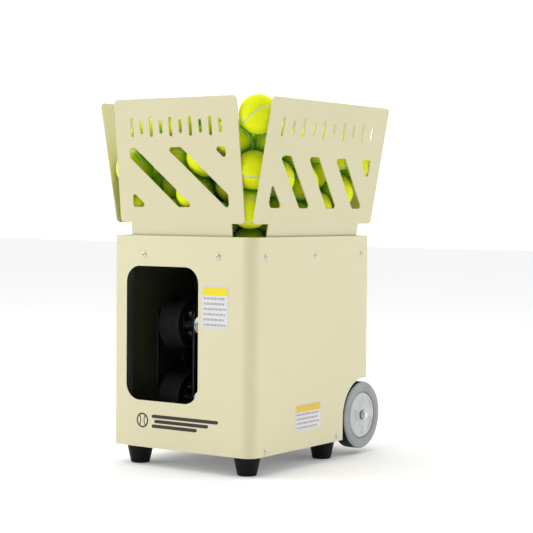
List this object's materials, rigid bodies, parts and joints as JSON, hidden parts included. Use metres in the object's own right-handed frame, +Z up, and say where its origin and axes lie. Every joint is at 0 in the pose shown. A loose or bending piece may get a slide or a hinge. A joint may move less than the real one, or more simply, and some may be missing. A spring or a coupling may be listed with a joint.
{
  "type": "tennis ball machine",
  "caption": "Portable ball machine: cream sheet metal cabinet on feet and rear wheels, tilted plug-in hopper plates full of balls, carousel feeder, swivelling two-wheel throwing head.",
  "frame": {"origin": "on the floor, at the centre of the cabinet's footprint", "axes": "+X to the machine's right seen from the front, -Y towards the front with the ball window, +Z up"},
  "size_m": [0.3732, 0.4493, 0.6413],
  "materials": {
    "cream_paint": "satin powder coat",
    "black_plastic": "moulded, matte",
    "black_rubber": "matte rubber",
    "grey_plastic": "moulded, semi-matt",
    "black_steel": "black powder coat",
    "zinc_steel": "zinc plated",
    "bright_steel": "polished",
    "motor_steel": "drawn steel can",
    "aluminium": "satin anodised",
    "ball_felt": "woven felt with rubber seam",
    "throw_rubber": "ground polyurethane",
    "screen": "glossy",
    "key_plastic": "moulded keys",
    "red_plastic": "gloss",
    "board_green": "solder mask",
    "notice_film": "printed film",
    "battery_case": "moulded case"
  },
  "bodies": {
    "cabinet": {"axle_hangers": "zinc_steel", "base_tray": "zinc_steel", "battery": "battery_case", "board_components": "black_plastic", "cabinet_screws": "bright_steel", "charging_socket": "black_plastic", "control_board": "board_green", "control_panel": "black_plastic", "corner_posts": "zinc_steel", "display_window": "screen", "drop_tube": "black_plastic", "feed_motor": "motor_steel", "foot_screws": "zinc_steel", "front_right_wrap": "cream_paint", "handle_brackets": "black_plastic", "handle_outer_tubes": "aluminium", "hopper_deck": "black_plastic", "notice_plates": "notice_film", "oscillation_bracket": "black_steel", "oscillation_motor": "motor_steel", "plate_sockets": "black_plastic", "rear_left_wrap": "cream_paint", "rubber_feet": "black_rubber", "tennis_balls": "ball_felt", "turntable_spindle": "bright_steel", "wheel_axle": "bright_steel", "wheel_wells": "black_steel"},
    "right_wheel": {"right_wheel_tread": "black_rubber", "right_wheel_rim": "grey_plastic"},
    "left_wheel": {"left_wheel_tread": "black_rubber", "left_wheel_rim": "grey_plastic"},
    "front_plate": {"front_hopper_plate": "cream_paint"},
    "rear_plate": {"rear_hopper_plate": "cream_paint"},
    "left_plate": {"left_hopper_plate": "cream_paint"},
    "right_plate": {"right_hopper_plate": "cream_paint"},
    "feeder": {"feed_rotor": "black_plastic"},
    "turntable": {"turntable_gear": "zinc_steel", "head_cradle": "black_steel", "elevation_motor": "motor_steel"},
    "oscillation_drive": {"oscillation_pinion": "bright_steel"},
    "throwing_head": {"head_side_plates": "black_steel", "shaft_bearings": "bright_steel", "head_trunnions": "bright_steel", "elevation_gear": "zinc_steel", "throwing_motors": "motor_steel", "ball_trough": "black_plastic"},
    "elevation_drive": {"elevation_pinion": "bright_steel"},
    "upper_throw_wheel": {"upper_throwing_tyre": "throw_rubber", "upper_throwing_hub": "aluminium"},
    "lower_throw_wheel": {"lower_throwing_tyre": "throw_rubber", "lower_throwing_hub": "aluminium"},
    "handle_middle": {"handle_middle_tubes": "aluminium"},
    "handle_top": {"handle_inner_rods": "bright_steel", "handle_grip": "black_rubber"},
    "handle_release": {"handle_button": "red_plastic"},
    "power_rocker": {"power_switch": "red_plastic"},
    "key_1": {"button_1": "key_plastic"},
    "key_2": {"button_2": "key_plastic"},
    "key_3": {"button_3": "key_plastic"},
    "key_4": {"button_4": "key_plastic"}
  },
  "joints": [
    {"name": "right_wheel_spin", "type": "hinge", "parent": "cabinet", "child": "right_wheel", "pos_m": [0.1335, 0.1715, 0.0715], "axis": [1, 0, 0], "continuous": true},
    {"name": "left_wheel_spin", "type": "hinge", "parent": "cabinet", "child": "left_wheel", "pos_m": [-0.1335, 0.1715, 0.0715], "axis": [1, 0, 0], "continuous": true},
    {"name": "front_plate_lift", "type": "slide", "parent": "cabinet", "child": "front_plate", "axis": [0, -0.1132, 0.9936], "range_m": [0, 0.05]},
    {"name": "rear_plate_lift", "type": "slide", "parent": "cabinet", "child": "rear_plate", "axis": [0, 0.1132, 0.9936], "range_m": [0, 0.05]},
    {"name": "left_plate_lift", "type": "slide", "parent": "cabinet", "child": "left_plate", "axis": [-0.1822, 0, 0.9833], "range_m": [0, 0.05]},
    {"name": "right_plate_lift", "type": "slide", "parent": "cabinet", "child": "right_plate", "axis": [0.1822, 0, 0.9833], "range_m": [0, 0.05]},
    {"name": "feed_rotor_spin", "type": "hinge", "parent": "cabinet", "child": "feeder", "pos_m": [0.00798, 0.05085, 0.304], "axis": [0, 0, 1], "continuous": true},
    {"name": "oscillation", "type": "hinge", "parent": "cabinet", "child": "turntable", "pos_m": [-0.06, -0.0575, 0.041], "axis": [0, 0, 1], "range_deg": [-12, 12]},
    {"name": "oscillation_pinion_spin", "type": "hinge", "parent": "cabinet", "child": "oscillation_drive", "pos_m": [-0.06, 0.001, 0.041], "axis": [0, 0, 1], "range_deg": [-41, 41]},
    {"name": "elevation", "type": "hinge", "parent": "turntable", "child": "throwing_head", "pos_m": [-0.06, -0.0575, 0.18], "axis": [-1, 0, 0], "range_deg": [-10, 12]},
    {"name": "elevation_pinion_spin", "type": "hinge", "parent": "turntable", "child": "elevation_drive", "pos_m": [0.054, 0.001, 0.18], "axis": [-1, 0, 0], "range_deg": [-41, 34]},
    {"name": "upper_throw_spin", "type": "hinge", "parent": "throwing_head", "child": "upper_throw_wheel", "pos_m": [-0.06, -0.0975, 0.246], "axis": [1, 0, 0], "continuous": true},
    {"name": "lower_throw_spin", "type": "hinge", "parent": "throwing_head", "child": "lower_throw_wheel", "pos_m": [-0.06, -0.0975, 0.114], "axis": [1, 0, 0], "continuous": true},
    {"name": "handle_middle_slide", "type": "slide", "parent": "cabinet", "child": "handle_middle", "axis": [0, 0, 1], "range_m": [0, 0.25]},
    {"name": "handle_top_slide", "type": "slide", "parent": "handle_middle", "child": "handle_top", "axis": [0, 0, 1], "range_m": [0, 0.25]},
    {"name": "handle_release_press", "type": "slide", "parent": "handle_top", "child": "handle_release", "axis": [0, 0, -1], "range_m": [0, 0.003], "stiffness_N_per_m": 400, "springref_m": -0.0005},
    {"name": "power_rocker_tilt", "type": "hinge", "parent": "cabinet", "child": "power_rocker", "pos_m": [0.036, 0.1815, 0.252], "axis": [1, 0, 0], "range_deg": [-9, 9]},
    {"name": "key_1_press", "type": "slide", "parent": "cabinet", "child": "key_1", "axis": [0, -1, 0], "range_m": [0, 0.0014], "stiffness_N_per_m": 300, "springref_m": -0.0005},
    {"name": "key_2_press", "type": "slide", "parent": "cabinet", "child": "key_2", "axis": [0, -1, 0], "range_m": [0, 0.0014], "stiffness_N_per_m": 300, "springref_m": -0.0005},
    {"name": "key_3_press", "type": "slide", "parent": "cabinet", "child": "key_3", "axis": [0, -1, 0], "range_m": [0, 0.0014], "stiffness_N_per_m": 300, "springref_m": -0.0005},
    {"name": "key_4_press", "type": "slide", "parent": "cabinet", "child": "key_4", "axis": [0, -1, 0], "range_m": [0, 0.0014], "stiffness_N_per_m": 300, "springref_m": -0.0005}
  ],
  "couplings": [
    {"joint": "oscillation_pinion_spin", "follows": "oscillation", "ratio": -3.3333},
    {"joint": "elevation_pinion_spin", "follows": "elevation", "ratio": -3.3333}
  ]
}
